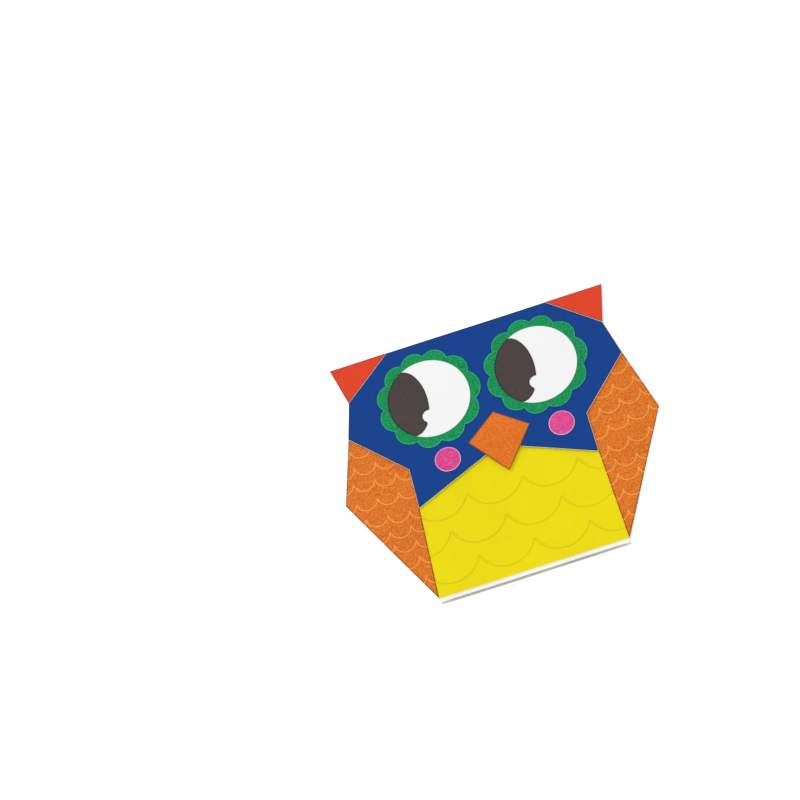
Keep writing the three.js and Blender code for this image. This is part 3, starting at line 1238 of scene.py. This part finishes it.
@dataclass
class Head:
    """The folded-over end of the bag with the owl's face on it.

    Attributes:
        body: The body that it moves with.
        rim_dip: How far the green rim shows past the white of the eye at the dips of its scallops.
        rim_dips: The dips, in degrees clockwise from straight up.
        pupil_half: Half width and half height of the oval pupil.
        pupil_shift: Its centre from the eye's centre.
        pupil_overhang: How far it reaches past the edge of the white.
        glint_radius: Radius of the round bite out of the pupil.
        glint_shift: Its centre from the eye's centre.
        beak_side_drop: From the beak's top corner to the level of its side corners.
    """

    body: str = "head_flap"
    rim_dip: float = 3.5 * MM
    rim_dips: tuple[int, ...] = (6, 36, 70, 108, 145, 179, 209, 241, 274, 306, 337)
    pupil_half: tuple[float, float] = (12.15 * MM, 21.8 * MM)
    pupil_shift: tuple[float, float] = (-13.1 * MM, 0.4 * MM)
    pupil_overhang: float = 0.12 * MM
    glint_radius: float = 4.1 * MM
    glint_shift: tuple[float, float] = (-2.8 * MM, -11.1 * MM)
    beak_side_drop: float = 15.1 * MM

    def flap(self, layer: str) -> Sheet:
        """Return one layer of the flap, "inner" or "outer"."""
        return bag_panel(f"flap_{layer}", self.body, OWL.flap_depth, FRONT_PLANE, Paint.BAG, Paint.BAG)

    def face(self) -> Sheet:
        """Return the blue face, the card that carries all the features."""
        corners = [OWL.ear_tip, OWL.ear_notch, OWL.shoulder, OWL.wing_top, OWL.chin_corner, OWL.chin_middle]
        return front_card("head_cutout", self.body, "blue_card", Outline.mirrored(corners), Paint.BLUE)

    def ear(self, side: str, sign: int) -> Sheet:
        """Return one ear, a red triangle; sign is -1 for the left one and 1 for the right one."""
        outline = Outline.corners([OWL.ear_root, OWL.ear_tip, OWL.ear_notch], sign)
        return front_card(f"ear_{side}", self.body, "red_card", outline, Paint.RED)

    def rim(self, side: str) -> Sheet:
        """Describe the scalloped green rim of one eye: an arc from each dip to the next.

        Args:
            side: "left" or "right".

        Returns:
            The rim, a whole disc that the white covers but for its edge.
        """
        centre, eye_radius = FRONT_PLANE.middle(f"eye_white_{side}")
        middle = Vector(centre)
        dip_radius = eye_radius + self.rim_dip
        strokes = []
        dips = [math.radians(90 - dip) for dip in self.rim_dips]
        bump_radius = max((spot.xy - middle).length for spot in FRONT_PLANE.corners(f"eye_ring_{side}"))
        for i, dip in enumerate(dips):
            after = dips[i + 1] if i + 1 < len(dips) else dips[0] - 2 * math.pi
            half = (dip - after) / 2
            edge, rise = dip_radius * math.sin(half), dip_radius * math.cos(half)
            radius = (edge**2 + (bump_radius - rise) ** 2) / (2 * (bump_radius - rise))
            reach = bump_radius - radius
            swing = math.atan2(edge, rise - reach)
            top = (dip + after) / 2
            hub = middle + Vector((math.cos(top), math.sin(top))) * reach
            strokes.append(Arc(tuple(hub), -2 * swing))
        start = middle + Vector((math.cos(dips[0]), math.sin(dips[0]))) * dip_radius
        outline = Outline(tuple(start), tuple(strokes))
        paints = (Paint.GREEN, Paint.CORE, Paint.GREEN_EDGE)
        return front_card(f"eye_ring_{side}", self.body, "green_card", outline, *paints)

    def disc(self, node: str, slot: str, paint: Paint) -> Sheet:
        """Return a round card, as wide as its packed sheet and in the same place."""
        return front_card(node, self.body, slot, Outline.disc(*FRONT_PLANE.middle(node)), paint)

    def beak(self) -> Sheet:
        """Describe the beak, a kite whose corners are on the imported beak's box.

        Returns:
            The orange kite.
        """
        (x, y), half = FRONT_PLANE.middle("beak")
        top = max(spot.y for spot in FRONT_PLANE.corners("beak"))
        side_depth = self.beak_side_drop - top
        corners = [(x, -top), (x + half, side_depth), (x, top - 2 * y), (x - half, side_depth)]
        paints = (Paint.BEAK, Paint.CORE, Paint.ORANGE_EDGE)
        return front_card("beak", self.body, "beak_card", Outline.corners(corners), *paints)

    def pupil(self, side: str) -> Sheet:
        """Describe one pupil: an oval, trimmed round the white's edge and bitten by the glint.

        Args:
            side: "left" or "right".

        Returns:
            The brown card.
        """
        centre, radius = FRONT_PLANE.middle(f"eye_white_{side}")
        outline = PupilCut(
            Vector(centre),
            radius + self.pupil_overhang,
            self.pupil_half,
            Vector(self.pupil_shift),
            self.glint_radius,
            Vector(self.glint_shift),
        ).outline()
        paints = (Paint.BROWN, Paint.CORE, Paint.BROWN)
        return front_card(f"pupil_{side}", self.body, "brown_card", outline, *paints)

    def build(self) -> None:
        """Make every sheet of the head."""
        sheets = [self.flap("inner"), self.flap("outer"), self.face(), self.beak()]
        for side, sign in OWL_SIDES:
            sheets += [self.ear(side, sign), self.rim(side)]
            sheets += [self.disc(f"eye_white_{side}", "white_card", Paint.WHITE), self.pupil(side)]
            sheets += [self.disc(f"cheek_{side}", "pink_card", Paint.PINK)]
        for sheet in sheets:
            sheet.make()


@dataclass(frozen=True)
class PupilCut:
    """The cut of a pupil.

    Attributes:
        eye: The eye's centre.
        limit: The radius that the pupil may not pass.
        half: Half width and half height of its oval.
        shift: The oval's centre from the eye's centre.
        bite: Radius of the glint.
        bite_shift: The glint's centre from the eye's centre.
        steps: How many directions the edge is taken in.
        bite_steps: How many steps the glint's circle is drawn in.
    """

    eye: Vector
    limit: float
    half: tuple[float, float]
    shift: Vector
    bite: float
    bite_shift: Vector
    steps: int = 120
    bite_steps: int = 16

    def rim_point(self, angle: float) -> Vector:
        """Find the pupil's edge in one direction from the oval's centre.

        Args:
            angle: The direction.

        Returns:
            The point, from the eye's centre.
        """
        way = Vector((math.cos(angle), math.sin(angle)))
        oval = 1 / math.hypot(way.x / self.half[0], way.y / self.half[1])
        along = self.shift.dot(way)
        room = -along + math.sqrt(along**2 + self.limit**2 - self.shift.length_squared)
        return self.shift + way * min(oval, room)

    def outline(self) -> Outline:
        """Follow the edge all the way round, and the glint's circle where the edge is inside it.

        Returns:
            The whole cut on the front plane.
        """
        points = []
        for i in range(self.steps):
            point = self.rim_point(2 * math.pi * i / self.steps)
            if (point - self.bite_shift).length >= self.bite:
                points.append(point)
        gap = max(range(len(points)), key=lambda i: (points[i] - points[i - 1]).length)
        ordered = points[gap:] + points[:gap]
        start, end = (spot - self.bite_shift for spot in (ordered[-1], ordered[0]))
        turn = -(start.angle_signed(end) % (2 * math.pi))
        arc = [
            self.bite_shift
            + (Matrix.Rotation(turn * i / self.bite_steps, 2) @ start).normalized() * self.bite
            for i in range(1, self.bite_steps)
        ]
        full = [self.eye + spot for spot in [*ordered, *arc]]
        return Outline(tuple(full[0]), tuple(Line(*spot) for spot in full[1:]))


# ------------------------------------------------------------------ folds and gussets


@dataclass(frozen=True)
class Fold:
    """Paper bent round a crease along x: a half or quarter tube, pressed flat.

    Attributes:
        name: The piece's name.
        low: Height of the middle of the lower sheet, in the row frame.
        high: Height of the middle of the upper sheet.
        start: Where it starts on its round, in degrees from straight down.
        turn: How far it goes, in degrees.
        bodies: The two bodies that it joins; not used.
        paper: Its thickness.
        pressed: Its depth along y, as a share of a round one.
        steps: How many steps it is bent in.
    """

    name: str
    low: float
    high: float
    start: float
    turn: float
    bodies: tuple[str, str]
    paper: float = 0.15 * MM
    pressed: float = 0.4
    steps: int = 8

    def make(self) -> bpy.types.Object:
        """Spin the paper's section round the crease, press it flatter and lay it on the back plane.

        Returns:
            The finished piece.
        """
        middle = (self.low + self.high) / 2
        radius = (self.high - self.low) / 2
        bpy.ops.object.select_all(action="DESELECT")
        bpy.ops.mesh.primitive_plane_add(size=1, rotation=(math.pi / 2, 0, 0))
        obj = bpy.context.object
        obj.name = self.name
        obj.data.name = self.name
        settle(obj, scale=(2 * OWL.bag_half, self.paper, 1))
        settle(obj, location=(0, 0, -radius))
        settle(obj, rotation_euler=(math.radians(self.start), 0, 0))
        obj.data.materials.append(Paint.BAG.value.material())
        start_editing(obj, "FACE")
        bpy.ops.mesh.select_all(action="SELECT")
        spin(self.steps, math.radians(self.turn), (0, 0, 0), (-1, 0, 0))
        slice_across(0, -OWL.bag_half, OWL.bag_half, GRID)
        stop_editing()
        settle(obj, scale=(1, self.pressed, 1))
        settle(obj, location=(0, 0, middle))
        lay_piece(obj, BACK_PLANE)
        low, high = box_of([vertex.co for vertex in obj.data.vertices])
        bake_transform(obj)
        return report(obj)


@dataclass
class BagFolds:
    """The creases at the top of the bag: the crown round the outside and the throat inside it."""

    def level(self, plane: Plane, node: str) -> float:
        """Return the height, at the top fold, of the middle of a packed sheet that lies on a plane."""
        low, high = plane.heights(node)
        return (plane.matrix @ Vector((0, 0, (low + high) / 2))).z

    def build(self) -> None:
        """Make the crown in two halves, one for each joint that it crosses, and the throat."""
        back = self.level(BACK_PLANE, "bag_back_wall")
        outer, wall, inner = (
            self.level(FRONT_PLANE, node) for node in ("flap_outer", "bag_front_wall", "flap_inner")
        )
        Fold("crown_fold_lower", back, outer, 0, 90, ("bag_back", "bag_front")).make()
        Fold("crown_fold_upper", back, outer, 90, 90, ("bag_front", "head_flap")).make()
        Fold("throat_fold", wall, inner, 0, 180, ("bag_front", "head_flap")).make()


@dataclass
class Gussets:
    """The fold-in sides of the bag, each in two halves that meet at the middle crease.

    Attributes:
        crease_angle: From the bag's side edge to the middle crease.
        hinge_trim: Paper left out beside the edge that a half folds on.
        crease_trim: Paper left out beside the middle crease.
        rub: Width of the worn strip along its edges.
    """

    crease_angle: float = math.radians(13)
    hinge_trim: float = 0.3 * MM
    crease_trim: float = 0.2 * MM
    rub: float = 0.05 * MM

    def plane(self, sign: int, rises: bool) -> Plane:
        """Find the plane of one half, turned about the bag's side edge.

        Args:
            sign: -1 for the left gusset and 1 for the right one.
            rises: Whether it rises from the back wall rather than hanging from the front one.

        Returns:
            The plane.
        """
        lean = math.asin(math.tan(rest_gape() / 2) / math.tan(self.crease_angle))
        edge = Matrix.Translation((sign * OWL.bag_half, 0, 0))
        turned = Matrix.Rotation(sign * lean * (1 if rises else -1), 4, "Y")
        if rises:
            return Plane(Matrix.Translation(fold_line()) @ edge @ turned)
        return Plane(FRONT_PLANE.matrix @ edge @ turned)

    def half(self, side: str, sign: int, wall: str) -> Sheet:
        """Describe one half of a gusset.

        Args:
            side: "left" or "right".
            sign: -1 or 1, the direction of that side along x.
            wall: "back" or "front", the wall that it hangs on.

        Returns:
            The triangle of bag paper.
        """
        slope = math.tan(self.crease_angle)
        papers = (Paint.BAG, Paint.INSIDE) if wall == "back" else (Paint.INSIDE, Paint.BAG)
        corners = [
            (-sign * self.hinge_trim, (self.hinge_trim + self.crease_trim) / slope),
            (-sign * self.hinge_trim, OWL.height),
            (-sign * (OWL.height * slope - self.crease_trim), OWL.height),
        ]
        name = f"gusset_{side}_{wall}"
        plane = self.plane(sign, wall == "back")
        return bag_sheet(name, f"{name}_half", Outline.corners(corners), plane, *papers, rub=self.rub)

    def build(self) -> None:
        """Make all four halves."""
        for side, sign in OWL_SIDES:
            for wall in ("back", "front"):
                self.half(side, sign, wall).make()


# ------------------------------------------------------------------ studio


@dataclass(frozen=True)
class Lamp:
    """A square soft light that faces the puppet: its name, place, width and power in watts."""

    name: str
    place: tuple[float, float, float]
    size: float
    power: float

    def hang(self) -> None:
        """Add the light to the scene."""
        data = bpy.data.lights.new(self.name, "AREA")
        data.size = self.size
        data.energy = self.power
        light = bpy.data.objects.new(self.name, data)
        light.location = self.place
        light.rotation_euler = Vector(self.place).to_track_quat("Z", "Y").to_euler()
        bpy.context.scene.collection.objects.link(light)


LAMPS = (
    Lamp("key_light", (-0.9, 1.1, 1.6), 1.2, 9),
    Lamp("fill_light", (1.2, -0.8, 1.8), 1.6, 4),
)
TABLE_TOP = Finish(
    "table_top", (250, 250, 250), (247, 247, 247), (252, 252, 252), 0.2, clouds=0.02, glow=0.3
)


@dataclass
class Studio:
    """A pale table, soft light from all round and a long lens.

    Attributes:
        azimuth: Direction of the camera round the owl, from straight in front of its foot.
        elevation: Its height above the table, as an angle.
        roll: How far the camera is turned about its line of sight.
        distance: From the aim point to the camera.
        lens: Focal length in millimetres, on a 36 mm wide sensor.
        aim: The point on the table at the middle of the picture.
        table_width: Width of the table.
        daylight: Strength of the even light from all round.
    """

    azimuth: float = math.radians(10.454)
    elevation: float = math.radians(65.479)
    roll: float = math.radians(-27.349)
    distance: float = 6.031
    lens: float = 450.0
    aim: tuple[float, float, float] = (-0.0504, 0.05328, 0.0)
    table_width: float = 8
    daylight: float = 0.88

    def camera(self) -> None:
        """Place the camera, turned about its line of sight."""
        away = Vector((
            math.sin(self.azimuth) * math.cos(self.elevation),
            -math.cos(self.azimuth) * math.cos(self.elevation),
            math.sin(self.elevation),
        ))
        right = Vector((0, 0, 1)).cross(away).normalized()
        up = away.cross(right)
        across = right * math.cos(self.roll) + up * math.sin(self.roll)
        facing = Matrix((across, away.cross(across), away)).transposed().to_4x4()
        data = bpy.data.cameras.new("camera")
        data.lens = self.lens
        camera = bpy.data.objects.new("camera", data)
        camera.matrix_world = Matrix.Translation(Vector(self.aim) + away * self.distance) @ facing
        bpy.context.scene.collection.objects.link(camera)
        bpy.context.scene.camera = camera

    def table(self) -> None:
        """Make the plain pale floor, with the faintest mottle, lit a little from below."""
        bpy.ops.object.select_all(action="DESELECT")
        bpy.ops.mesh.primitive_plane_add(size=self.table_width)
        floor = bpy.context.object
        floor.name = "table"
        floor.data.materials.append(TABLE_TOP.material())

    def sky(self) -> None:
        """Surround the scene with even white light."""
        world = bpy.data.worlds.new("surround")
        world.use_nodes = True
        ground = world.node_tree.nodes["Background"]
        ground.inputs["Color"].default_value = (1, 1, 1, 1)
        ground.inputs["Strength"].default_value = self.daylight
        bpy.context.scene.world = world

    def build(self) -> None:
        """Set up the camera, the lights and the table."""
        self.camera()
        for lamp in LAMPS:
            lamp.hang()
        self.sky()
        self.table()
        bpy.context.scene.view_settings.view_transform = "Standard"


# ------------------------------------------------------------------ the whole puppet


def write_sizes() -> None:
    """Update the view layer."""
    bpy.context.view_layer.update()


def main() -> None:
    """Build the studio and every part of the puppet, in order."""
    logging.basicConfig(level=logging.INFO, format="%(name)s: %(message)s")
    Studio().build()
    for part in (Back(), Front(), Head(), BagFolds(), Gussets()):
        log.info("building %s", type(part).__name__)
        part.build()
    write_sizes()


if __name__ == "__main__":
    main()
